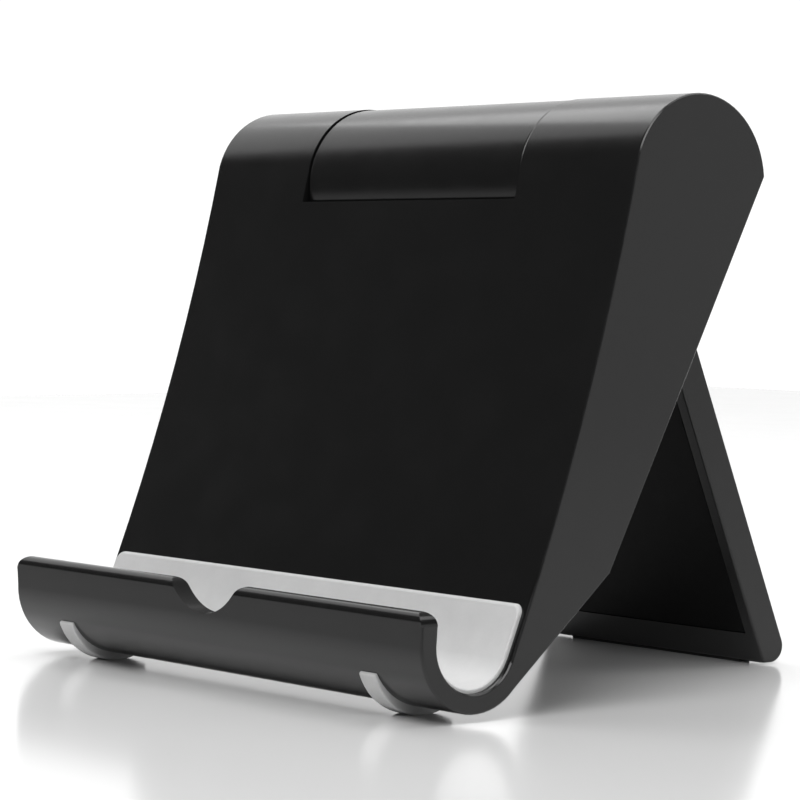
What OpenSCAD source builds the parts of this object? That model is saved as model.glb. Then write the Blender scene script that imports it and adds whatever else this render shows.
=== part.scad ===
// Folding phone stand: a curved back with a phone trough, and a leg on a friction hinge.
// Profiles are drawn in the side view, in [y, z] from the hinge axis, and run along X.
// Millimetres. Origin: centre of the standing footprint, on the surface it stands on.

/* [Body] */
// Width of the body across the trough
body_w = 97; // [92:1:102]
// Diameter of the round top edge
barrel_d = 24.5; // [23.5:0.5:25]
// Height of the hinge axis above the surface
hinge_h = 71; // [70:1:72]
// Lean of the front panel where it leaves the top edge, degrees
panel_lean = 12.5; // [12:0.5:13]
// Lean of the flat back, degrees
back_lean = 27.4; // [27:0.2:28]
// Distance from the hinge axis to the flat back
back_set = 10.3; // [10.1:0.1:10.5]
// Length of the flat back below the hinge
back_len = 54; // [52:1:55]
// Wall of the front shell
wall = 2.2; // [2:0.1:2.4]
// Thickness of the end walls beside the cover
end_t = 1.6; // [1.4:0.1:1.8]
// Thickness of the back cover
cover_t = 1.4; // [1.2:0.1:1.6]

/* [Trough] */
// How far the trough's centre lies in front of the hinge axis
trough_ahead = 39; // [38:0.5:40]
// Height of the trough's centre above the surface
trough_h = 10.3; // [10.2:0.1:10.5]
// Outer diameter of the trough
trough_d = 18.4; // [18:0.2:18.8]
// Wall of the trough and the lip
trough_wall = 2.7; // [2.5:0.1:2.9]
// Height of the lip above the surface
lip_h = 14.9; // [14.5:0.1:15.5]
// Depth of the cable notch in the lip
notch_depth = 4.4; // [4:0.1:5]
// Radius of the cable notch
notch_r = 9.6; // [8.4:0.2:10]

/* [Leg] */
// Width of the leg and its knuckle
leg_w = 48.6; // [46:0.2:50]
// Lean of the leg as it stands, degrees
leg_lean = 23; // [22:0.5:24]
// Thickness of the leg
leg_t = 5; // [4.8:0.1:5.2]
// Radius of the leg's outer bottom corner
leg_tip_r = 2.4; // [2:0.1:2.6]

/* [Hinge] */
// Diameter of the hinge shaft
shaft_d = 5; // [4.6:0.2:5]
// Length of the hinge shaft
shaft_len = 76; // [75:1:80]
// Outer diameter of the hinge bushes
bush_d = 8; // [7.6:0.2:8.4]

/* [Pads] */
// Thickness of the trough liner
liner_t = 1.2; // [1:0.1:1.4]
// Width of a foot pad
foot_w = 3.6; // [3:0.2:5]
// Distance of each foot pad's centre from the middle
foot_x = 36.2; // [34:0.2:38]

/* [Hidden] */
$fn = 96;
// Circle segments of the very large front curve
long_fn = 900;
// Gap at a moulded seam, round the moving knuckle, and in a close hole
seam = 0.1;
swing_gap = 0.35;
slip = 0.05;
// Reach of cutting shapes past the solids they cut
far = 60;
half_w = body_w / 2;
barrel_r = barrel_d / 2;

// Trough, in the side view from the hinge axis
trough_c = [-trough_ahead, trough_h - hinge_h];
trough_ro = trough_d / 2;
trough_ri = trough_ro - trough_wall;
lip_in = -trough_ahead - trough_ri;
lip_out = -trough_ahead - trough_ro;
lip_top = lip_h - hinge_h;
lip_end_r = 2.5;
shoulder_r = 2.5;

// Front panel: one arc that is tangent to the round top and to the inside of the trough
panel_n = [-cos(panel_lean), sin(panel_lean)];
tangent_sum = barrel_r + trough_ri;
panel_r = (trough_c * trough_c - tangent_sum * tangent_sum)
          / (2 * (trough_c * panel_n) - 2 * tangent_sum) - barrel_r;
panel_c = panel_n * (panel_r + barrel_r);
panel_end_dir = (trough_c - panel_c) / norm(trough_c - panel_c);
panel_end = trough_c + trough_ri * panel_end_dir;
panel_end_angle = 360 + atan2(panel_end_dir[1], panel_end_dir[0]);
// The radius cut is a touch larger, so that its ends cross the round parts at a clear angle
cross = 0.05;
panel_cut = panel_r + cross;

// Flat back: outward normal and upward direction, its top, its kink and the lower face
back_n = [cos(back_lean), -sin(back_lean)];
back_up = [sin(back_lean), cos(back_lean)];
back_top = back_point(-sqrt(barrel_r * barrel_r - back_set * back_set), back_set);
cover_top = back_top - 0.8 * back_up;
kink = back_point(back_len, back_set);
kink_to_trough = trough_c - kink;
lower_angle = atan2(kink_to_trough[1], kink_to_trough[0])
              + asin((trough_ro - cross) / norm(kink_to_trough));
lower_n = [-sin(lower_angle), cos(lower_angle)];
lower_end = trough_c + (trough_ro - cross) * lower_n;
cavity_lift = 2;
cavity_floor = trough_h + cavity_lift - hinge_h;

// Knuckle opening and leg well
knuckle_r = barrel_r - 0.15;
well_half = leg_w / 2 + 0.3;
bulkhead_t = 2.8;
opening_edge = -2.2;
well_start = 9;
well_floor = knuckle_r - leg_t - 0.5;
well_wall = 1.4;

// Leg, in its own side view: [along the leg, outward] from the hinge axis
leg_in = knuckle_r - leg_t;
leg_skin = 1.8;
leg_side = 2;
leg_half = leg_w / 2;
grip_lift = 0.3;
tip_c = [(hinge_h + (knuckle_r - leg_tip_r) * sin(leg_lean) - leg_tip_r - grip_lift) / cos(leg_lean),
         knuckle_r - leg_tip_r];
leg_heel = (hinge_h + leg_in * sin(leg_lean) - grip_lift) / cos(leg_lean);
panel_from = 12.6;
panel_to = 75;
cap_cut = 7.1;
hub_r = 4.6;

// The footprint runs from the lip to the leg's tip, and the origin is at its middle
leg_back = tip_c[0] * sin(leg_lean) + tip_c[1] * cos(leg_lean) + leg_tip_r;
hinge_y = -(lip_out + leg_back) / 2;

// Angle round the trough's centre at which the liner starts, inside the lip
liner_from = 186;

// Foot pads: a crescent under the trough, cut flat where it stands
foot_r = trough_ro - 0.15;
foot_flat = 0.15;
foot_from = 208;
foot_to = 300;
foot_root_r = trough_ro - 1.2;

// Hinge stack, measured outward from the middle
shaft_r = shaft_d / 2;
flat_at = shaft_r - 0.4;
bush_r = bush_d / 2;
bulkhead_out = well_half + bulkhead_t;
flange_t = 1;
flange_r = bush_r + 2;
plate_t = 1;
plate_r = 7.4;
tab_w = 3;
rib_t = 1;
washer_r = 6.8;
pin_r = 1;
spring_room = 2.2;
stack_plate = bulkhead_out + flange_t + seam;
stack_washer = stack_plate + plate_t + slip;
stack_spring = stack_washer + plate_t + slip;
stack_nut = stack_spring + spring_room;
nut_t = 4;
nut_corner_r = 4.6;
nut_collar_r = 3.6;

// Screws
screw_x = 38;
screw_spots = [23, 45];
screw_r = 1.25;
head_r = 2.3;
head_h = 1.5;
boss_r = 3;
cup_depth = 1.3;
cup_rim = 0.4;
head_gap = 0.2;
leg_screw_x = 15;
leg_screw_spots = [20, 34];
leg_boss_r = 2.6;
leg_thread_r = 1;
leg_head_r = 2;
leg_head_sink = 0.8;

// A point of the side view, from its distance down the back and out from the hinge axis
function back_point(down, out) = out * back_n - down * back_up;
// The corner of the two back faces, moved in by t
function inner_kink(t) = kink - t * (back_n + lower_n) / (1 + back_n * lower_n);
// A wedge of the side view round the trough's centre, from angle a to angle b
function trough_wedge(a, b) = concat([trough_c],
    [for (i = [0:4]) trough_c + 2 * trough_ro * [cos(a + (b - a) * i / 4), sin(a + (b - a) * i / 4)]]);

// ---- Placing helpers ----

// Runs a side view from x0 to x1
module along_x(x0, x1) {
    translate([x0, hinge_y, hinge_h]) rotate([90, 0, 90]) linear_extrude(x1 - x0) children();
}

// Runs a front view, in [x, height], from y0 to y1 measured from the hinge axis
module along_y(y0, y1) {
    translate([0, hinge_y + y1, 0]) rotate([90, 0, 0]) linear_extrude(y1 - y0) children();
}

// Frame on the hinge axis: Y runs down the flat back and Z points out of it
module back_space() {
    translate([0, hinge_y, hinge_h]) rotate([-90 - back_lean, 0, 0]) children();
}

// Frame on the hinge axis: Y runs down the leg and Z points out of its outer face
module leg_space() {
    translate([0, hinge_y, hinge_h]) rotate([leg_lean - 90, 0, 0]) children();
}

// Runs a leg side view from x0 to x1, inside leg_space
module leg_along_x(x0, x1) {
    translate([x0, 0, 0]) rotate([90, 0, 90]) linear_extrude(x1 - x0) children();
}

// A cylinder on the hinge axis from x0 to x1
module on_axis(r, x0, x1) {
    translate([x0, hinge_y, hinge_h]) rotate([0, 90, 0]) cylinder(r = r, h = x1 - x0);
}

module both_sides() {
    children();
    mirror([1, 0, 0]) children();
}

// ---- Side views ----

// The whole outline of the body
module outline() {
    difference() {
        union() {
            circle(r = barrel_r);
            translate(trough_c) difference() {
                circle(r = trough_ro);
                translate([-trough_ro, 0]) square(2 * trough_ro);
            }
            translate([lip_out + trough_wall / 2, lip_top - trough_wall / 2]) circle(d = trough_wall);
            translate([lip_out, trough_c[1]])
                square([trough_wall, lip_top - trough_wall / 2 - trough_c[1]]);
            polygon([[0, 0], panel_n * barrel_r, panel_end, trough_c, lower_end,
                     kink + 2 * (kink - lower_end) / norm(kink - lower_end), back_point(0, back_set + 1)]);
        }
        translate(trough_c) circle(r = trough_ri);
        intersection() {
            translate(panel_c) circle(r = panel_cut, $fn = long_fn);
            polygon([[lip_in, trough_c[1]], trough_c, panel_end + 5 * panel_end_dir,
                     [0, 0], [0, far], [lip_in, far]]);
        }
        polygon([back_point(-far, back_set), back_point(2 * far, back_set),
                 back_point(2 * far, far), back_point(-far, far)]);
    }
}

// The zone behind the cover's inner faces, t below the outer ones
module back_zone(t) {
    polygon([cover_top - t * back_n, inner_kink(t), lower_end - t * lower_n,
             lower_end + 9 * lower_n, kink + 12 * lower_n + 12 * back_n, cover_top + 9 * back_n]);
}

// What the cover leaves of the outline, between the shell's end walls
module shell_face() {
    difference() {
        outline();
        back_zone(cover_t + seam);
    }
}

// The hollow of the shell, open to the back
module cavity() {
    inner_r = barrel_r - wall;
    difference() {
        union() {
            circle(r = inner_r);
            polygon([[0, 0], panel_n * inner_r, [panel_end[0], cavity_floor], [kink[0] + 4, cavity_floor],
                     kink + 10 * back_n, back_top + 10 * back_n - 3 * back_up,
                     back_top * (inner_r / barrel_r)]);
        }
        translate(panel_c) circle(r = panel_cut + wall, $fn = long_fn);
    }
}

// The zone behind a floor that is parallel to the flat back, from start downward
module well_zone(floor_at, start = well_start) {
    polygon([back_point(start, floor_at), back_point(start, far),
             back_point(far * 2, far), back_point(far * 2, floor_at)]);
}

// The cover's plate over the hollow sides
module cover_face() {
    intersection() {
        outline();
        back_zone(cover_t);
    }
}

// The cover in the middle: the floor of the leg well, and the lower face past it
module well_face() {
    intersection() {
        outline();
        union() {
            difference() {
                back_zone(cover_t);
                well_zone(well_floor);
            }
            difference() {
                well_zone(well_floor - well_wall);
                well_zone(well_floor);
            }
        }
        polygon([back_point(well_start, -far), back_point(well_start, far),
                 back_point(3 * far, far), back_point(3 * far, -far)]);
    }
}

// ---- Body pieces ----

// The cable notch in the lip, in the front view, with rounded shoulders
module notch_face() {
    centre_at = lip_h - notch_depth + notch_r;
    shoulder_at = lip_h - shoulder_r + cross;
    shoulder_x = sqrt(pow(notch_r + shoulder_r, 2) - pow(centre_at - shoulder_at, 2));
    translate([0, centre_at]) circle(r = notch_r);
    difference() {
        polygon([[0, centre_at], [shoulder_x, shoulder_at], [shoulder_x, lip_h + 5],
                 [-shoulder_x, lip_h + 5], [-shoulder_x, shoulder_at]]);
        for (side = [-1, 1]) translate([side * shoulder_x, shoulder_at]) circle(r = shoulder_r);
    }
}

// What the rounded ends of the lip lose, in the front view
module lip_end_face() {
    translate([half_w - lip_end_r + cross, lip_h - lip_end_r + cross]) difference() {
        square(lip_end_r + 1);
        circle(r = lip_end_r);
    }
}

// The seat of a foot pad, in the side view
module foot_seat_face() {
    intersection() {
        difference() {
            translate(trough_c) circle(r = trough_ro + 1);
            translate(trough_c) circle(r = foot_root_r);
        }
        polygon(trough_wedge(foot_from, foot_to));
    }
}

// A strip along the trough and up the panel, from proud above the surfaces to deep below
// them. The stretch on the panel starts at an angle round the trough's centre.
module strip_face(proud, deep, panel_at, start) {
    above = lip_h - hinge_h + 2;
    intersection() {
        difference() {
            translate(trough_c) circle(r = trough_ri + deep);
            translate(trough_c) circle(r = trough_ri - proud);
        }
        polygon(concat(trough_wedge(liner_from, panel_end_angle - 5),
                       [trough_c + 2 * trough_ri * panel_end_dir]));
    }
    intersection() {
        difference() {
            translate(panel_c) circle(r = panel_at + deep, $fn = long_fn);
            translate(panel_c) circle(r = panel_at - proud, $fn = long_fn);
        }
        polygon([trough_c, trough_c + 2 * trough_ri * start, [0, above], [trough_c[0], above]]);
    }
}

// The liner, which runs smoothly from the trough to the panel
module liner_face() {
    strip_face(liner_t / 2, liner_t / 2, panel_r, panel_end_dir);
}

// The liner's seat, whose two stretches lap a little
module seat_face() {
    lap = panel_end_angle - 2;
    strip_face(1, liner_t / 2, panel_cut, [cos(lap), sin(lap)]);
}

// Rounded rectangle that trims the liner's top corners, in the front view
module liner_trim_face(inset) {
    half = half_w - inset;
    corner_r = 1.5;
    translate([-half, -1]) square([2 * half, lip_h + 1 - corner_r]);
    translate([corner_r - half, 0]) square([2 * (half - corner_r), lip_h]);
    for (side = [-1, 1]) translate([side * (half - corner_r), lip_h - corner_r]) circle(r = corner_r);
}

// What lies behind the middle of the panel's wall, where inner walls may start
module behind_panel_face() {
    difference() {
        shell_face();
        translate(panel_c) circle(r = panel_cut + wall / 2, $fn = long_fn);
    }
}

module screw_bosses() {
    boss_top = back_set - cover_t - cup_depth;
    intersection() {
        back_space() for (spot = screw_spots)
            translate([screw_x, spot, -barrel_r]) cylinder(r = boss_r, h = boss_top + barrel_r);
        along_x(0, half_w) behind_panel_face();
    }
}

// A curved wall under the knuckle that closes the hollow
module saddle_face() {
    intersection() {
        behind_panel_face();
        difference() {
            circle(r = knuckle_r + swing_gap + well_wall);
            circle(r = knuckle_r);
            translate([-far / 2, opening_edge]) square(far);
            well_zone(well_floor - well_wall - seam, -far);
        }
    }
}

// Two ribs in the round top that keep a friction plate from turning
module plate_ribs() {
    rib_x = stack_plate - 0.6;
    rib_at = tab_w / 2 + seam;
    for (side = [-rib_at - rib_t, rib_at])
        translate([rib_x, hinge_y + side, hinge_h + 8]) cube([2, rib_t, barrel_r - wall - 7.6]);
}

module front_shell() color("#1d1d1f") {
    difference() {
        union() {
            difference() {
                along_x(-half_w, half_w) outline();
                along_x(end_t - half_w, half_w - end_t) back_zone(cover_t + seam);
                along_x(-well_half, well_half) cavity();
                both_sides() along_x(bulkhead_out, half_w - wall) cavity();
                along_x(-bulkhead_out, bulkhead_out) well_zone(well_floor - well_wall - seam);
            }
            along_x(-well_half - 1, well_half + 1) saddle_face();
            both_sides() screw_bosses();
            both_sides() plate_ribs();
        }
        on_axis(knuckle_r + swing_gap, -well_half, well_half);
        translate([-well_half, hinge_y - 2 * barrel_r, hinge_h + opening_edge])
            cube([2 * well_half, 3 * barrel_r, far]);
        on_axis(bush_r, -bulkhead_out - 1, bulkhead_out + 1);
        along_y(lip_out - 1, lip_in + 1) notch_face();
        both_sides() along_y(lip_out - 1, lip_in + 1) lip_end_face();
        both_sides() along_x(foot_x - foot_w / 2, foot_x + foot_w / 2) foot_seat_face();
        intersection() {
            along_x(-half_w, half_w) seat_face();
            along_y(lip_out, 0) liner_trim_face(1);
        }
        both_sides() back_space() for (spot = screw_spots)
            translate([screw_x, spot, 0]) cylinder(r = screw_r + slip, h = barrel_r);
    }
}

module back_cover() color("#202022") {
    difference() {
        union() {
            both_sides() along_x(well_half, half_w - end_t - seam) cover_face();
            along_x(-well_half - well_wall, well_half + well_wall) well_face();
            both_sides() along_x(well_half, well_half + well_wall) intersection() {
                outline();
                well_zone(well_floor - well_wall);
            }
            both_sides() back_space() for (spot = screw_spots)
                translate([screw_x, spot, back_set - cover_t - cup_depth + seam / 2])
                    cylinder(r = boss_r + cup_rim, h = cup_depth + cover_t / 2);
        }
        on_axis(knuckle_r + swing_gap, -well_half, well_half);
        both_sides() back_space() for (spot = screw_spots) translate([screw_x, spot, 0]) {
            cylinder(r = screw_r + 0.25, h = barrel_r);
            translate([0, 0, back_set - head_h - head_gap]) cylinder(r = head_r + head_gap, h = 5);
        }
    }
}

// A pan-head screw that points down Z, its head's seat at the origin
module screw(shank_r, shank_l, cap_r, cap_h) {
    difference() {
        union() {
            translate([0, 0, -shank_l]) cylinder(r = shank_r, h = shank_l + cap_h / 2, $fn = 32);
            cylinder(r = cap_r, h = cap_h, $fn = 48);
        }
        for (turn = [0, 90]) rotate(turn)
            translate([-cap_r * 0.65, -0.3, cap_h * 0.4]) cube([cap_r * 1.3, 0.6, cap_h]);
    }
}

module cover_screws() color("#3a3a3d") {
    both_sides() back_space() for (spot = screw_spots)
        translate([screw_x, spot, back_set - head_h - head_gap]) screw(screw_r, 7, head_r, head_h);
}

module trough_liner() color("#b9babb") {
    intersection() {
        along_x(-half_w, half_w) liner_face();
        along_y(lip_out, 0) liner_trim_face(1 + slip);
    }
}

// One foot pad, on the +X side
module foot_pad() {
    along_x(foot_x - foot_w / 2 + slip, foot_x + foot_w / 2 - slip) difference() {
        intersection() {
            translate([trough_c[0], foot_r - foot_flat - hinge_h]) circle(r = foot_r);
            polygon(trough_wedge(foot_from, foot_to));
            translate([-far * 2, -hinge_h]) square(far * 2);
        }
        translate(trough_c) circle(r = foot_root_r);
    }
}

module right_foot_pad() color("#b4b5b6") foot_pad();

module left_foot_pad() color("#b4b5b6") mirror([1, 0, 0]) foot_pad();

// ---- Hinge stack, on the +X side ----

module bush() {
    difference() {
        union() {
            on_axis(bush_r, well_half, bulkhead_out);
            on_axis(flange_r, bulkhead_out, bulkhead_out + flange_t);
        }
        on_axis(shaft_r + slip, 0, half_w);
    }
}

module friction_plate() {
    difference() {
        union() {
            on_axis(plate_r, stack_plate, stack_plate + plate_t);
            translate([stack_plate, hinge_y - tab_w / 2, hinge_h])
                cube([plate_t, tab_w, barrel_r - wall - 0.4]);
        }
        on_axis(shaft_r + 0.3, 0, half_w);
    }
}

// The shaft's section where washers are keyed to it, grown by gap
module keyed_face(gap) {
    intersection() {
        circle(r = shaft_r + gap);
        translate([-far / 2, -far / 2]) square([far, far / 2 + flat_at + gap]);
    }
}

module pressure_washer() {
    along_x(stack_washer, stack_washer + plate_t) difference() {
        circle(r = washer_r);
        keyed_face(slip);
    }
}

// Two coned washers face to face
module spring_washers() {
    cone_h = 1;
    disc_t = 0.6;
    inner_r = shaft_r + 0.2;
    outer_r = 6.4;
    cone = [[inner_r, cone_h - disc_t], [outer_r, 0], [outer_r, disc_t], [inner_r, cone_h]];
    translate([stack_spring, hinge_y, hinge_h]) rotate([0, 90, 0]) {
        rotate_extrude() polygon(cone);
        translate([0, 0, 2 * cone_h + slip]) mirror([0, 0, 1]) rotate_extrude() polygon(cone);
    }
}

module lock_nut() {
    difference() {
        union() {
            translate([stack_nut, hinge_y, hinge_h]) rotate([0, 90, 0])
                cylinder(r = nut_corner_r, h = nut_t - 1, $fn = 6);
            on_axis(nut_collar_r, stack_nut, stack_nut + nut_t);
        }
        on_axis(shaft_r + slip, 0, half_w);
    }
}

module right_bush() color("#e8e4d8") bush();
module left_bush() color("#e8e4d8") mirror([1, 0, 0]) bush();
module right_friction_plate() color("#a08050") friction_plate();
module left_friction_plate() color("#a08050") mirror([1, 0, 0]) friction_plate();
module right_pressure_washer() color("#9da0a4") pressure_washer();
module left_pressure_washer() color("#9da0a4") mirror([1, 0, 0]) pressure_washer();
module right_spring_washers() color("#8f9296") spring_washers();
module left_spring_washers() color("#8f9296") mirror([1, 0, 0]) spring_washers();
module right_lock_nut() color("#b0b3b7") lock_nut();
module left_lock_nut() color("#b0b3b7") mirror([1, 0, 0]) lock_nut();

module hinge_shaft() color("#aeb1b5") {
    difference() {
        on_axis(shaft_r, -shaft_len / 2, shaft_len / 2);
        both_sides() translate([stack_plate - flange_t, hinge_y - far / 2, hinge_h + flat_at])
            cube([far, far, far]);
        leg_space() both_sides() translate([leg_screw_x, 0, -barrel_r])
            cylinder(r = pin_r + slip, h = barrel_d, $fn = 32);
    }
}

module shaft_pins() color("#c2c5c9") {
    leg_space() both_sides() translate([leg_screw_x, 0, -hub_r])
        cylinder(r = pin_r, h = 2 * hub_r, $fn = 32);
}

// ---- Leg pieces ----

// The whole side view of the leg and its knuckle
module leg_face() {
    circle(r = knuckle_r);
    translate(tip_c) circle(r = leg_tip_r);
    polygon([[0, 0], [0, knuckle_r], [tip_c[0], knuckle_r], tip_c,
             tip_c + leg_tip_r * [cos(leg_lean), -sin(leg_lean)], [leg_heel, leg_in], [0, leg_in]]);
}

// What the knuckle cap takes from the knuckle's underside, moved out by gap
module cap_zone(gap) {
    intersection() {
        circle(r = knuckle_r + 1);
        rotate(45) translate([-far / 2, -far - cap_cut + gap]) square([far, far]);
    }
}

module leg_core_face() {
    difference() {
        leg_face();
        circle(r = knuckle_r - wall);
        translate([0, leg_in - 1]) square([panel_to, leg_t - leg_skin + 1]);
    }
    difference() {
        union() {
            circle(r = hub_r);
            translate([-1, 0]) square([2, knuckle_r - leg_skin]);
        }
        circle(r = shaft_r + slip);
    }
    translate([panel_from - 2.4, leg_in]) square([2.4, leg_t - leg_skin]);
}

module leg_frame() color("#1f1f21") {
    difference() {
        leg_space() difference() {
            union() {
                leg_along_x(-leg_half, leg_half) difference() {
                    leg_core_face();
                    cap_zone(seam);
                }
                both_sides() leg_along_x(leg_half - leg_side, leg_half) difference() {
                    leg_face();
                    cap_zone(seam);
                }
                both_sides() for (spot = leg_screw_spots)
                    translate([leg_screw_x, spot, leg_in + well_wall + seam])
                        cylinder(r = leg_boss_r, h = leg_t - well_wall - seam - 1);
            }
            both_sides() for (spot = leg_screw_spots)
                translate([leg_screw_x, spot, 0]) cylinder(r = leg_thread_r, h = knuckle_r - 1, $fn = 32);
            both_sides() translate([leg_screw_x, 0, -hub_r])
                cylinder(r = pin_r + slip, h = 2 * hub_r, $fn = 32);
        }
        on_axis(shaft_r + slip, -half_w, half_w);
        grip_block(slip);
    }
}

module leg_panel() color("#19191b") {
    half = leg_half - leg_side - seam;
    leg_space() difference() {
        translate([-half, panel_from + seam, leg_in])
            cube([2 * half, panel_to - panel_from - 2 * seam, well_wall]);
        both_sides() for (spot = leg_screw_spots) translate([leg_screw_x, spot, 0]) {
            cylinder(r = leg_thread_r + head_gap, h = barrel_r, $fn = 32);
            cylinder(r = leg_head_r + head_gap, h = leg_in + leg_head_sink, $fn = 48);
        }
    }
}

module leg_screws() color("#3a3a3d") {
    leg_space() both_sides() for (spot = leg_screw_spots)
        translate([leg_screw_x, spot, leg_in + leg_head_sink]) mirror([0, 0, 1])
            screw(leg_thread_r - slip, 2.8, leg_head_r, 0.7);
}

module knuckle_cap() color("#1e1e20") {
    clip_half = leg_half - leg_side;
    clip_t = 1.8;
    leg_space() {
        leg_along_x(-leg_half, leg_half) intersection() {
            difference() {
                circle(r = knuckle_r);
                circle(r = knuckle_r - wall);
            }
            cap_zone(-slip);
        }
        for (at = [-clip_half, -clip_t / 2, clip_half - clip_t]) leg_along_x(at, at + clip_t) intersection() {
            circle(r = knuckle_r - 0.5);
            cap_zone(-slip);
        }
    }
}

// The rubber strip let into the leg's bottom, grown by gap
module grip_block(gap) {
    grip_half = 19;
    grip_y = hinge_y + leg_back - leg_tip_r - 1.5;
    translate([-grip_half - gap, grip_y - gap, gap > 0 ? -1 : 0])
        cube([2 * (grip_half + gap), 2 + 2 * gap, gap > 0 ? 2.5 + gap : 1.5]);
}

module leg_grip() color("#2a2a2c") grip_block(0);

front_shell();
back_cover();
cover_screws();
trough_liner();
left_foot_pad();
right_foot_pad();
left_bush();
right_bush();
left_friction_plate();
right_friction_plate();
leg_frame();
leg_panel();
leg_screws();
knuckle_cap();
leg_grip();
hinge_shaft();
shaft_pins();
left_pressure_washer();
right_pressure_washer();
left_spring_washers();
right_spring_washers();
left_lock_nut();
right_lock_nut();
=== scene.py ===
"""A folding phone stand in black moulded plastic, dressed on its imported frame.

Metres throughout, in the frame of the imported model: +Z up, the trough towards -Y and the
hinge axis along +X. The outer mouldings are rounded copies of the frame's nodes. The screws,
the grip strip and the hidden hinge stack keep their nodes and get their own finishes.
"""

import logging
import math
from dataclasses import dataclass, field
from enum import Enum
from typing import Callable, Optional, Union

import bmesh
import bpy
from mathutils import Matrix, Vector

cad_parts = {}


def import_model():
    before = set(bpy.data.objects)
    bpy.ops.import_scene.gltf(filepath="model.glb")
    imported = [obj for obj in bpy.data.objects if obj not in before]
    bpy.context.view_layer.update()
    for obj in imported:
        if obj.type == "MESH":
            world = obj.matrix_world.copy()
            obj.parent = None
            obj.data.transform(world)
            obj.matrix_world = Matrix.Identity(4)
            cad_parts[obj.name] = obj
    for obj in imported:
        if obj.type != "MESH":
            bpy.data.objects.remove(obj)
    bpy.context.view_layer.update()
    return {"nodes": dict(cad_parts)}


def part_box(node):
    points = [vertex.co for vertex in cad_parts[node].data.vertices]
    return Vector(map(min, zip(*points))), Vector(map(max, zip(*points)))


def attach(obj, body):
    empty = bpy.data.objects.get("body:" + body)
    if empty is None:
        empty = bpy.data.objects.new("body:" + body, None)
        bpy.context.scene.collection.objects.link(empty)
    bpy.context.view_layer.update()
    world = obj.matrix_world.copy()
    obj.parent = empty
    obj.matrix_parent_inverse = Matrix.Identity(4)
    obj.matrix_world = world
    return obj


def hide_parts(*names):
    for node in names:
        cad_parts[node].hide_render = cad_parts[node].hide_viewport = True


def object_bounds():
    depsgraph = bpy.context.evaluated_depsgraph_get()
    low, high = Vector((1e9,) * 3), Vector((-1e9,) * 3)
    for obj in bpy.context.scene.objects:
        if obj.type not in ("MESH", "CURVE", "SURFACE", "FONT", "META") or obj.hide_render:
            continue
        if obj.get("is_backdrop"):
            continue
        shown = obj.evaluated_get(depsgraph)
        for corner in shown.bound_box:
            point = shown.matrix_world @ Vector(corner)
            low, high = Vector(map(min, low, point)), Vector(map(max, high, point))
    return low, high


log = logging.getLogger("phone_stand")

MM = 0.001
"""One millimetre in the frame's metres."""

END_REACH = 0.05 * MM
"""How near an end, along the hinge axis, an edge still counts as lying on it."""

WAVE_TURN = 20.0
"""Radians that a wave texture turns for each unit of its own coordinates."""

Colour = tuple[float, float, float, float]


class Side(Enum):
    """The two ends of the hinge axis."""

    LEFT = "left"
    RIGHT = "right"


class Body(Enum):
    """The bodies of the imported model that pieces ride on."""

    STAND = "stand_body"
    LEG = "leg"


# ---- Shader maths ----


class Wire:
    """One shader output, with the arithmetic that adds Math nodes."""

    def __init__(self, graph: "Graph", socket: bpy.types.NodeSocket) -> None:
        """Wraps a socket of a graph.

        Args:
            graph: The graph that new nodes are added to.
            socket: The output socket that holds the value.
        """
        self.graph = graph
        self.socket = socket

    def _math(self, operation: str, first: object, second: object) -> "Wire":
        """Adds one Math node.

        Args:
            operation: The Math node's operation.
            first: Its first value or wire.
            second: Its second value or wire.

        Returns:
            The node's output.
        """
        return self.graph.node("ShaderNodeMath", {"operation": operation}, {0: first, 1: second})

    def __add__(self, other: object) -> "Wire":
        """The sum."""
        return self._math("ADD", self, other)

    def __radd__(self, other: object) -> "Wire":
        """The sum, with the wire on the right."""
        return self._math("ADD", other, self)

    def __sub__(self, other: object) -> "Wire":
        """The difference."""
        return self._math("SUBTRACT", self, other)

    def __rsub__(self, other: object) -> "Wire":
        """The difference, with the wire on the right."""
        return self._math("SUBTRACT", other, self)

    def __mul__(self, other: object) -> "Wire":
        """The product."""
        return self._math("MULTIPLY", self, other)

    def __rmul__(self, other: object) -> "Wire":
        """The product, with the wire on the right."""
        return self._math("MULTIPLY", other, self)


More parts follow.
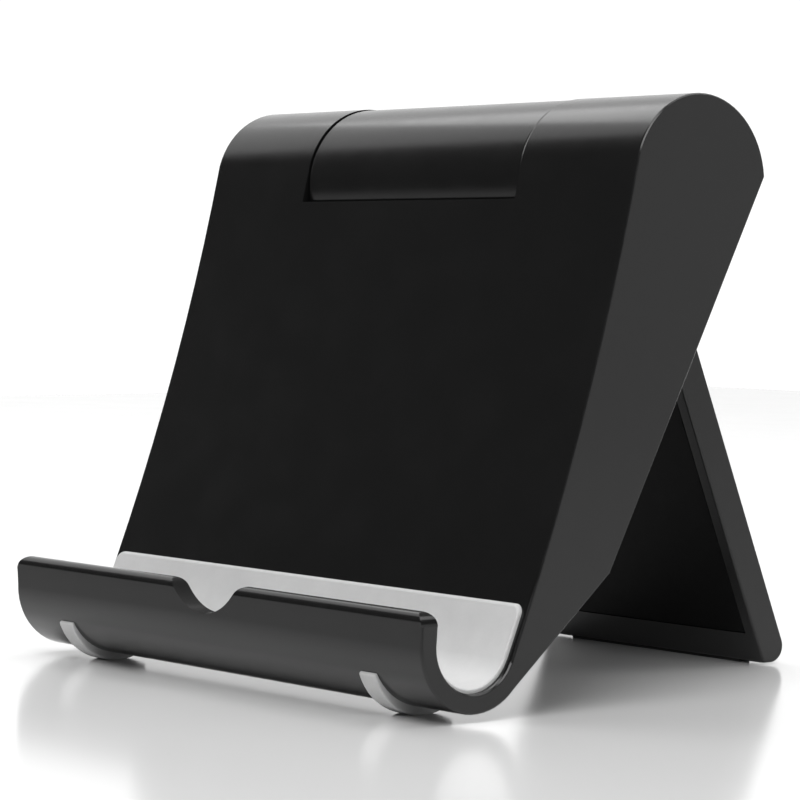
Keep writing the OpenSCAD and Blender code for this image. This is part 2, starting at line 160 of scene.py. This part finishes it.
class Graph:
    """A material's node tree, made one node at a time."""

    def __init__(self, name: str) -> None:
        """Makes an empty material.

        Args:
            name: The material's name.
        """
        self.material = bpy.data.materials.new(name)
        self.material.use_nodes = True
        self.tree = self.material.node_tree
        self.tree.nodes.clear()

    def node(
        self,
        kind: str,
        settings: Optional[dict[str, object]] = None,
        inputs: Optional[dict[Union[int, str], object]] = None,
        output: Union[int, str] = 0,
    ) -> Wire:
        """Adds any node.

        Args:
            kind: The node's type.
            settings: The node's own properties, set first; "stops" are a ramp's stops.
            inputs: Values or wires, by socket name or number.
            output: The output that is returned.

        Returns:
            The chosen output.
        """
        made = self.tree.nodes.new(kind)
        for key, value in (settings or {}).items():
            if key == "stops":
                self._stops(made.color_ramp, value)
            else:
                setattr(made, key, value)
        for key, value in (inputs or {}).items():
            if isinstance(value, Wire):
                self.tree.links.new(value.socket, made.inputs[key])
            else:
                made.inputs[key].default_value = value
        return Wire(self, made.outputs[output])

    @staticmethod
    def _stops(ramp: bpy.types.ColorRamp, stops: list[tuple[float, float]]) -> None:
        """Sets a ramp's grey stops.

        Args:
            ramp: The ramp.
            stops: Each stop's position and grey level.
        """
        while len(ramp.elements) < len(stops):
            ramp.elements.new(1.0)
        for element, (position, level) in zip(ramp.elements, stops):
            element.position = position
            element.color = (level, level, level, 1.0)

    def place(self) -> Wire:
        """The point on the piece, in metres of the frame."""
        return self.node("ShaderNodeTexCoord", output="Object")

    def noise(self, size: float, detail: float = 3.0, roughness: float = 0.55) -> Wire:
        """Noise with features of a given size.

        Args:
            size: The size of a feature, in metres.
            detail: The number of finer layers.
            roughness: How strong the finer layers are.

        Returns:
            The noise, about 0 to 1.
        """
        inputs = {"Vector": self.place(), "Scale": 1.0 / size, "Detail": detail, "Roughness": roughness}
        return self.node("ShaderNodeTexNoise", {"noise_dimensions": "3D"}, inputs)

    def ramp(self, value: Wire, *stops: tuple[float, float]) -> Wire:
        """Maps a value through grey stops.

        Args:
            value: The value to map.
            stops: Each stop's position and grey level.

        Returns:
            The mapped value.
        """
        return self.node("ShaderNodeValToRGB", {"stops": list(stops)}, {0: value})

    def blend(self, factor: Wire, low: Union[Wire, Colour], high: Union[Wire, Colour]) -> Wire:
        """Mixes two colours.

        Args:
            factor: 0 for the first colour, 1 for the second.
            low: The first colour.
            high: The second colour.

        Returns:
            The mixed colour.
        """
        settings = {"data_type": "RGBA", "clamp_factor": True}
        return self.node("ShaderNodeMix", settings, {0: factor, 6: low, 7: high}, output=2)

    def bump(self, height: Wire) -> Wire:
        """Turns a relief into normals.

        Args:
            height: The relief's height, in metres.

        Returns:
            The normals.
        """
        return self.node("ShaderNodeBump", None, {"Strength": 1.0, "Distance": 1.0, "Height": height})

    def finish(self, shader: Wire) -> bpy.types.Material:
        """Ends the graph.

        Args:
            shader: The surface shader.

        Returns:
            The finished material.
        """
        end = self.tree.nodes.new("ShaderNodeOutputMaterial")
        self.tree.links.new(shader.socket, end.inputs["Surface"])
        return self.material


def grey(level: float, warmth: float = 0.0) -> Colour:
    """A near-neutral colour.

    Args:
        level: The linear grey level.
        warmth: How far red rises and blue falls, as a share of the level.

    Returns:
        The colour with full alpha.
    """
    return (level * (1 + warmth), level, level * (1 - warmth), 1.0)


def shade(colour: Colour, gain: float, lift: float = 0.0) -> Colour:
    """A lighter or darker version of a colour.

    Args:
        colour: The colour.
        gain: What its levels are multiplied by.
        lift: What is then added to them.

    Returns:
        The new colour with full alpha.
    """
    return tuple(min(1.0, gain * level + lift) for level in colour[:3]) + (1.0,)


# ---- Finishes ----


@dataclass(frozen=True)
class MouldedPlastic:
    """Black moulded plastic with a fine spark-eroded grain, soft sheen and slight handling wear."""

    name: str
    colour: Colour
    roughness: float = 0.2
    specular: float = 0.5
    grain_size: float = 0.3 * MM
    grain_height: float = 0.0012 * MM
    grain_gain: float = 1.18
    grain_scatter: float = 0.03
    flow_size: float = 14 * MM
    flow_height: float = 0.003 * MM
    smudge_size: float = 7 * MM
    smudge_dulling: float = 0.04
    rub_size: float = 1.2 * MM
    rub_gain: float = 1.7
    rub_lift: float = 0.004
    rub_share: float = 0.6
    rub_polish: float = 0.04

    def build(self) -> bpy.types.Material:
        """Makes the material.

        Returns:
            The material.
        """
        graph = Graph(self.name)
        grain = graph.noise(self.grain_size, 2.0)
        flow = graph.noise(self.flow_size, 2.0)
        smudge = graph.ramp(graph.noise(self.smudge_size, 5.0, 0.65), (0.42, 0.0), (0.68, 1.0))
        rubbed = self._rubbed(graph)
        base = graph.blend(grain, self.colour, shade(self.colour, self.grain_gain))
        worn = shade(self.colour, self.rub_gain, self.rub_lift)
        dulled = self.roughness + smudge * self.smudge_dulling + (grain - 0.5) * self.grain_scatter
        shader = graph.node(
            "ShaderNodeBsdfPrincipled",
            None,
            {
                "Base Color": graph.blend(rubbed * self.rub_share, base, worn),
                "Roughness": dulled - rubbed * self.rub_polish,
                "Specular IOR Level": self.specular,
                "Normal": graph.bump(grain * self.grain_height + flow * self.flow_height),
            },
        )
        return graph.finish(shader)

    def _rubbed(self, graph: Graph) -> Wire:
        """How far the plastic is rubbed: patches along its outer corners.

        Args:
            graph: The material's graph.

        Returns:
            0 where it is as moulded, 1 where it is most rubbed.
        """
        corner = graph.node("ShaderNodeNewGeometry", output="Pointiness")
        patches = graph.ramp(graph.noise(self.rub_size, 4.0), (0.4, 0.15), (0.62, 1.0))
        return graph.ramp(corner, (0.52, 0.0), (0.6, 1.0)) * patches


@dataclass(frozen=True)
class SoftPolymer:
    """Matt elastomer, rubber or plain acetal, with a faint mottling and an uneven gloss."""

    name: str
    colour: Colour
    roughness: float = 0.55
    specular: float = 0.4
    skin_size: float = 0.35 * MM
    skin_height: float = 0.01 * MM
    skin_scatter: float = 0.08
    mottle_size: float = 5 * MM
    mottle_gain: float = 0.9
    mottle_dulling: float = 0.1
    glow_share: float = 0.05
    glow_depth: float = 0.4 * MM

    def build(self) -> bpy.types.Material:
        """Makes the material.

        Returns:
            The material.
        """
        graph = Graph(self.name)
        skin = graph.noise(self.skin_size, 3.0)
        mottle = graph.ramp(graph.noise(self.mottle_size, 4.0, 0.6), (0.35, 0.0), (0.7, 1.0))
        deeper = shade(self.colour, self.mottle_gain)
        shader = graph.node(
            "ShaderNodeBsdfPrincipled",
            None,
            {
                "Base Color": graph.blend(mottle * 0.6 + skin * 0.25, self.colour, deeper),
                "Roughness": self.roughness + mottle * self.mottle_dulling + (skin - 0.5) * self.skin_scatter,
                "Specular IOR Level": self.specular,
                "Subsurface Weight": self.glow_share,
                "Subsurface Radius": (self.glow_depth, self.glow_depth, self.glow_depth),
                "Normal": graph.bump(skin * self.skin_height),
            },
        )
        return graph.finish(shader)


@dataclass(frozen=True)
class TurnedMetal:
    """Machined metal with fine rings round the hinge axis and oil stains."""

    name: str
    colour: Colour
    roughness: float = 0.3
    ring_pitch: float = math.tau * 0.12 * MM
    ring_height: float = 0.002 * MM
    ring_dulling: float = 0.08
    stain_size: float = 1.6 * MM
    stain_gain: float = 0.55
    stain_share: float = 0.5
    stain_dulling: float = 0.18

    def build(self) -> bpy.types.Material:
        """Makes the material.

        Returns:
            The material.
        """
        graph = Graph(self.name)
        settings = {"wave_type": "BANDS", "bands_direction": "X"}
        inputs = {
            "Vector": graph.place(),
            "Scale": math.tau / (self.ring_pitch * WAVE_TURN),
            "Distortion": 0.6,
            "Detail": 2.0,
        }
        rings = graph.node("ShaderNodeTexWave", settings, inputs, output="Fac")
        stain = graph.ramp(graph.noise(self.stain_size, 5.0, 0.6), (0.45, 0.0), (0.7, 1.0))
        darker = shade(self.colour, self.stain_gain)
        shader = graph.node(
            "ShaderNodeBsdfPrincipled",
            None,
            {
                "Base Color": graph.blend(stain * self.stain_share, self.colour, darker),
                "Metallic": 1.0,
                "Roughness": self.roughness + stain * self.stain_dulling + rings * self.ring_dulling,
                "Normal": graph.bump(rings * self.ring_height),
            },
        )
        return graph.finish(shader)


@dataclass(frozen=True)
class GlossTable:
    """The pale gloss table that the stand is shown on."""

    name: str = "table_white"
    level: float = 0.92
    cloud_gain: float = 0.985
    cloud_size: float = 60 * MM
    cloud_dulling: float = 0.05
    roughness: float = 0.13
    specular: float = 0.5

    def build(self) -> bpy.types.Material:
        """Makes the material.

        Returns:
            The material.
        """
        graph = Graph(self.name)
        cloud = graph.noise(self.cloud_size, 3.0)
        shader = graph.node(
            "ShaderNodeBsdfPrincipled",
            None,
            {
                "Base Color": graph.blend(cloud, grey(self.level), grey(self.level * self.cloud_gain)),
                "Roughness": self.roughness + cloud * self.cloud_dulling,
                "Specular IOR Level": self.specular,
            },
        )
        return graph.finish(shader)


# ---- Making and finishing pieces ----


EdgeTest = Callable[[bmesh.types.BMEdge], bool]


def add_object(name: str, shape: bmesh.types.BMesh) -> bpy.types.Object:
    """Turns a bmesh into an object at the origin, and frees the bmesh.

    Args:
        name: The object's name.
        shape: The bmesh.

    Returns:
        The object, linked to the scene.
    """
    mesh = bpy.data.meshes.new(name)
    shape.to_mesh(mesh)
    shape.free()
    made = bpy.data.objects.new(name, mesh)
    bpy.context.scene.collection.objects.link(made)
    return made


def on_ends(node: str) -> EdgeTest:
    """Makes a test for edges on either end of a node along the hinge axis.

    Args:
        node: The frame node.

    Returns:
        The test.
    """
    low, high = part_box(node)

    def test(edge: bmesh.types.BMEdge) -> bool:
        """Whether both ends of an edge lie on an end of the node."""
        return all(min(v.co.x - low.x, high.x - v.co.x) < END_REACH for v in edge.verts)

    return test


@dataclass
class RoundedNode:
    """A frame node's shape, welded into clean faces, with its moulded edges rounded."""

    node: str
    name: str
    radius: float
    sharp_angle: float = math.radians(28)
    flat_angle: float = math.radians(0.4)
    segments: int = 3
    weld_reach: float = 0.002 * MM
    closing_reach: float = 0.001 * MM
    face_weight: int = 80

    def build(self, nodes: dict[str, bpy.types.Object], keep: Optional[EdgeTest] = None) -> bpy.types.Object:
        """Copies the node and rounds the edges that a test keeps.

        Args:
            nodes: The frame's nodes by name.
            keep: True for an edge to round; every sharp edge if left out.

        Returns:
            The new piece, at the origin.
        """
        shape = self._welded(nodes[self.node].data)
        chosen = [e for e in shape.edges if self._is_sharp(e) and (keep is None or keep(e))]
        if chosen:
            self._round(shape, chosen)
        bmesh.ops.remove_doubles(shape, verts=shape.verts[:], dist=self.closing_reach)
        for face in shape.faces:
            face.smooth = True
        for edge in shape.edges:
            edge.smooth = not self._is_sharp(edge)
        piece = add_object(self.name, shape)
        weigh = piece.modifiers.new("even_shading", "WEIGHTED_NORMAL")
        weigh.keep_sharp = True
        weigh.weight = self.face_weight
        return piece

    def _welded(self, mesh: bpy.types.Mesh) -> bmesh.types.BMesh:
        """Copies loose triangles into a closed shape with whole flat faces.

        Args:
            mesh: The node's mesh.

        Returns:
            The shape.
        """
        shape = bmesh.new()
        shape.from_mesh(mesh)
        bmesh.ops.remove_doubles(shape, verts=shape.verts[:], dist=self.weld_reach)
        bmesh.ops.dissolve_limit(
            shape,
            angle_limit=self.flat_angle,
            use_dissolve_boundaries=False,
            verts=shape.verts[:],
            edges=shape.edges[:],
            delimit=set(),
        )
        bmesh.ops.recalc_face_normals(shape, faces=shape.faces[:])
        return shape

    def _round(self, shape: bmesh.types.BMesh, chosen: list[bmesh.types.BMEdge]) -> None:
        """Rounds edges, with square corners where they meet.

        Args:
            shape: The shape.
            chosen: The edges.
        """
        bmesh.ops.bevel(
            shape,
            geom=chosen,
            offset=self.radius,
            offset_type="OFFSET",
            segments=self.segments,
            profile=0.5,
            affect="EDGES",
            clamp_overlap=False,
            material=-1,
            loop_slide=True,
            miter_outer="SHARP",
            miter_inner="SHARP",
        )

    def _is_sharp(self, edge: bmesh.types.BMEdge) -> bool:
        """Whether an edge is a moulded corner and not a facet of a round.

        Args:
            edge: The edge.

        Returns:
            True if its two faces meet at more than the sharp angle.
        """
        return len(edge.link_faces) == 2 and edge.calc_face_angle(0.0) > self.sharp_angle


def dress(piece: bpy.types.Object, material: bpy.types.Material) -> None:
    """Gives a piece one material in every slot.

    Args:
        piece: The piece.
        material: The material.
    """
    if not piece.material_slots:
        piece.data.materials.append(material)
    for slot in piece.material_slots:
        slot.link = "OBJECT"
        slot.material = material
    log.info("%s: %s", piece.name, material.name)


def settle(
    piece: bpy.types.Object, body: Body, material: bpy.types.Material, slot: str, *nodes: str
) -> None:
    """Finishes a piece: its material, its body and the nodes it stands for.

    Args:
        piece: The piece.
        body: The body that it rides on.
        material: Its material.
        slot: A material slot name; not used.
        nodes: The frame nodes that it replaces.
    """
    dress(piece, material)
    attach(piece, body.value)
    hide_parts(*nodes)
    log.info("%s rides on %s: %d faces", piece.name, body.value, len(piece.data.polygons))


# ---- Sub-assemblies ----


@dataclass
class StandBody:
    """The curved front shell, its back cover and the screws between them."""

    nodes: dict[str, bpy.types.Object]
    shell_edge: float = 0.45 * MM
    cover_edge: float = 0.3 * MM
    plastic: MouldedPlastic = field(
        default_factory=lambda: MouldedPlastic("shell_black_plastic", grey(0.006))
    )
    cover_plastic: MouldedPlastic = field(
        default_factory=lambda: MouldedPlastic("cover_black_plastic", grey(0.006), roughness=0.3)
    )
    screw_metal: TurnedMetal = field(
        default_factory=lambda: TurnedMetal("screw_black_steel", grey(0.06), roughness=0.35)
    )

    def build(self) -> None:
        """Makes the shell and cover with rounded rims at their ends, and dresses the screws."""
        piece = RoundedNode("front_shell", "shell", self.shell_edge).build(self.nodes, on_ends("front_shell"))
        settle(piece, Body.STAND, self.plastic.build(), "shell_black", "front_shell")
        piece = RoundedNode("back_cover", "cover", self.cover_edge).build(self.nodes, on_ends("back_cover"))
        settle(piece, Body.STAND, self.cover_plastic.build(), "cover_black", "back_cover")
        dress(self.nodes["cover_screws"], self.screw_metal.build())


@dataclass
class SoftParts:
    """The trough's liner and the two foot pads."""

    nodes: dict[str, bpy.types.Object]
    liner_edge: float = 0.35 * MM
    pad_edge: float = 0.3 * MM
    liner: SoftPolymer = field(default_factory=lambda: SoftPolymer("liner_grey_elastomer", grey(0.72)))
    pads: SoftPolymer = field(default_factory=lambda: SoftPolymer("pad_grey_elastomer", grey(0.66)))

    def build(self) -> None:
        """Makes the liner and the pads."""
        piece = RoundedNode("trough_liner", "liner", self.liner_edge).build(self.nodes)
        settle(piece, Body.STAND, self.liner.build(), "soft_grey", "trough_liner")
        material = self.pads.build()
        for side in Side:
            node = f"{side.value}_foot_pad"
            piece = RoundedNode(node, f"{side.value}_foot", self.pad_edge).build(self.nodes)
            settle(piece, Body.STAND, material, "foot_grey", node)


@dataclass
class Leg:
    """The leg's frame and knuckle cap, its inset panel, its screws and its grip strip."""

    nodes: dict[str, bpy.types.Object]
    edge: float = 0.4 * MM
    panel_edge: float = 0.15 * MM
    plastic: MouldedPlastic = field(default_factory=lambda: MouldedPlastic("leg_black_plastic", grey(0.006)))
    panel_plastic: MouldedPlastic = field(
        default_factory=lambda: MouldedPlastic(
            "leg_panel_plastic", grey(0.003), roughness=0.5, specular=0.1
        )
    )
    screw_metal: TurnedMetal = field(
        default_factory=lambda: TurnedMetal("leg_screw_steel", grey(0.06), roughness=0.35)
    )
    rubber: SoftPolymer = field(
        default_factory=lambda: SoftPolymer("grip_dark_rubber", grey(0.03), roughness=0.6)
    )

    def build(self) -> None:
        """Makes the frame, cap and panel, and dresses the screws and the grip strip."""
        flank = on_ends("leg_frame")
        material = self.plastic.build()
        piece = RoundedNode("leg_frame", "leg_shell", self.edge).build(self.nodes, flank)
        settle(piece, Body.LEG, material, "leg_black", "leg_frame")
        piece = RoundedNode("knuckle_cap", "cap", self.edge).build(self.nodes, flank)
        settle(piece, Body.LEG, material, "cap_black", "knuckle_cap")
        piece = RoundedNode("leg_panel", "inner_panel", self.panel_edge).build(self.nodes)
        settle(piece, Body.LEG, self.panel_plastic.build(), "panel_black", "leg_panel")
        dress(self.nodes["leg_screws"], self.screw_metal.build())
        dress(self.nodes["leg_grip"], self.rubber.build())


@dataclass
class HingeStack:
    """The hidden shaft with its bushes, friction plates, washers, pins and nuts."""

    nodes: dict[str, bpy.types.Object]
    steel: TurnedMetal = field(default_factory=lambda: TurnedMetal("shaft_ground_steel", grey(0.55)))
    spring: TurnedMetal = field(
        default_factory=lambda: TurnedMetal("spring_dark_steel", grey(0.35), roughness=0.4)
    )
    brass: TurnedMetal = field(
        default_factory=lambda: TurnedMetal("friction_brass_plate", (0.65, 0.45, 0.18, 1.0))
    )
    acetal: SoftPolymer = field(
        default_factory=lambda: SoftPolymer("bush_ivory_acetal", grey(0.7, 0.08), roughness=0.35)
    )

    def build(self) -> None:
        """Dresses every piece of the stack."""
        steel = self.steel.build()
        spring = self.spring.build()
        brass = self.brass.build()
        acetal = self.acetal.build()
        for node in ("hinge_shaft", "shaft_pins"):
            dress(self.nodes[node], steel)
        paired = {
            "pressure_washer": steel,
            "lock_nut": steel,
            "spring_washers": spring,
            "friction_plate": brass,
            "bush": acetal,
        }
        for side in Side:
            for kind, material in paired.items():
                dress(self.nodes[f"{side.value}_{kind}"], material)


# ---- Studio ----


def toward(azimuth: float, elevation: float) -> Vector:
    """The direction from the stand to a place in the studio.

    Args:
        azimuth: Degrees round from -Y towards +X.
        elevation: Degrees up from level.

    Returns:
        The unit vector.
    """
    turn, rise = math.radians(azimuth), math.radians(elevation)
    return Vector((math.sin(turn) * math.cos(rise), -math.cos(turn) * math.cos(rise), math.sin(rise)))


@dataclass
class SoftBox:
    """A rectangular light that faces the stand."""

    name: str
    azimuth: float
    elevation: float
    distance: float
    size: tuple[float, float]
    watts: float

    def build(self, aim: Vector) -> None:
        """Makes the light.

        Args:
            aim: The point that it faces.
        """
        away = toward(self.azimuth, self.elevation)
        data = bpy.data.lights.new(self.name, "AREA")
        data.shape = "RECTANGLE"
        data.size, data.size_y = self.size
        data.energy = self.watts
        lamp = bpy.data.objects.new(self.name, data)
        lamp.location = aim + away * self.distance
        lamp.rotation_euler = (-away).to_track_quat("-Z", "Y").to_euler()
        bpy.context.scene.collection.objects.link(lamp)


@dataclass
class Card:
    """A flat glowing studio card that shows in the gloss of the plastic."""

    name: str
    azimuth: float
    elevation: float
    distance: float
    size: tuple[float, float]
    glow: float

    def build(self, aim: Vector) -> None:
        """Makes the card.

        Args:
            aim: The point that it faces.
        """
        away = toward(self.azimuth, self.elevation)
        shape = bmesh.new()
        bmesh.ops.create_grid(shape, x_segments=4, y_segments=4, size=0.5)
        bmesh.ops.scale(shape, vec=(self.size[0], self.size[1], 1.0), verts=shape.verts)
        turned = (-away).to_track_quat("-Z", "Y").to_matrix().to_4x4()
        put = Matrix.Translation(aim + away * self.distance) @ turned
        bmesh.ops.transform(shape, matrix=put, verts=shape.verts)
        card = add_object(self.name, shape)
        graph = Graph(self.name)
        shader = graph.node("ShaderNodeEmission", None, {"Color": grey(1.0), "Strength": self.glow})
        dress(card, graph.finish(shader))
        card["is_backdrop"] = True


@dataclass
class Studio:
    """The table, the lights, the surroundings and the camera."""

    azimuth: float = 51.3
    pitch: float = 2.25
    roll: float = 0.71
    lens: float = 145.3
    camera_at: tuple[float, float, float] = (0.36693, -0.3042, 0.0582)
    table_half: float = 0.9
    table: GlossTable = field(default_factory=GlossTable)
    lights: tuple[SoftBox, ...] = (
        SoftBox("overhead", 210.0, 70.0, 0.75, (1.2, 0.7), 4.6),
        SoftBox("key", 40.0, 52.0, 0.8, (0.6, 0.6), 5.0),
    )
    cards: tuple[Card, ...] = (
        Card("back_card", 231.3, 10.0, 1.6, (2.6, 2.2), 1.1),
        Card("left_card", 270.0, 30.0, 1.2, (0.8, 1.3), 1.1),
        Card("side_card", 128.7, 6.0, 1.3, (1.3, 0.9), 0.74),
    )
    surroundings: float = 0.06
    backdrop: float = 1.1

    def build(self) -> None:
        """Makes everything round the stand."""
        low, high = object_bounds()
        aim = (low + high) / 2
        self._table()
        for light in self.lights:
            light.build(aim)
        for card in self.cards:
            card.build(aim)
        self._world()
        self._camera()

    def _table(self) -> None:
        """The flat table top."""
        shape = bmesh.new()
        bmesh.ops.create_grid(shape, x_segments=8, y_segments=8, size=self.table_half)
        top = add_object("table", shape)
        dress(top, self.table.build())
        top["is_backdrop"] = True

    def _world(self) -> None:
        """A dim room whose backdrop is white."""
        world = bpy.data.worlds.new("studio")
        world.use_nodes = True
        tree = world.node_tree
        room = tree.nodes["Background"]
        room.inputs["Color"].default_value = grey(1.0)
        room.inputs["Strength"].default_value = self.surroundings
        white = tree.nodes.new("ShaderNodeBackground")
        white.inputs["Color"].default_value = grey(1.0)
        white.inputs["Strength"].default_value = self.backdrop
        path = tree.nodes.new("ShaderNodeLightPath")
        either = tree.nodes.new("ShaderNodeMixShader")
        tree.links.new(path.outputs["Is Camera Ray"], either.inputs[0])
        tree.links.new(room.outputs[0], either.inputs[1])
        tree.links.new(white.outputs[0], either.inputs[2])
        tree.links.new(either.outputs[0], tree.nodes["World Output"].inputs["Surface"])
        bpy.context.scene.world = world
        bpy.context.scene.view_settings.view_transform = "Standard"

    def _camera(self) -> None:
        """A long lens, low and to the right of the front."""
        turn, drop, roll = (math.radians(a) for a in (self.azimuth, self.pitch, self.roll))
        ahead = Vector((-math.sin(turn) * math.cos(drop), math.cos(turn) * math.cos(drop), -math.sin(drop)))
        right = Vector((math.cos(turn), math.sin(turn), 0.0))
        up = right.cross(ahead)
        right, up = right * math.cos(roll) + up * math.sin(roll), up * math.cos(roll) - right * math.sin(roll)
        data = bpy.data.cameras.new("camera")
        data.lens = self.lens
        data.sensor_width = 36.0
        data.clip_start, data.clip_end = 0.01, 20.0
        camera = bpy.data.objects.new("camera", data)
        turned = Matrix((right, up, -ahead)).transposed().to_4x4()
        camera.matrix_world = Matrix.Translation(self.camera_at) @ turned
        bpy.context.scene.collection.objects.link(camera)
        bpy.context.scene.camera = camera


def main() -> None:
    """Builds the stand in order."""
    logging.basicConfig(level=logging.INFO)
    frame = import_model()
    nodes = frame["nodes"]
    for part in (StandBody(nodes), SoftParts(nodes), Leg(nodes), HingeStack(nodes)):
        part.build()
    Studio().build()


if __name__ == "__main__":
    main()
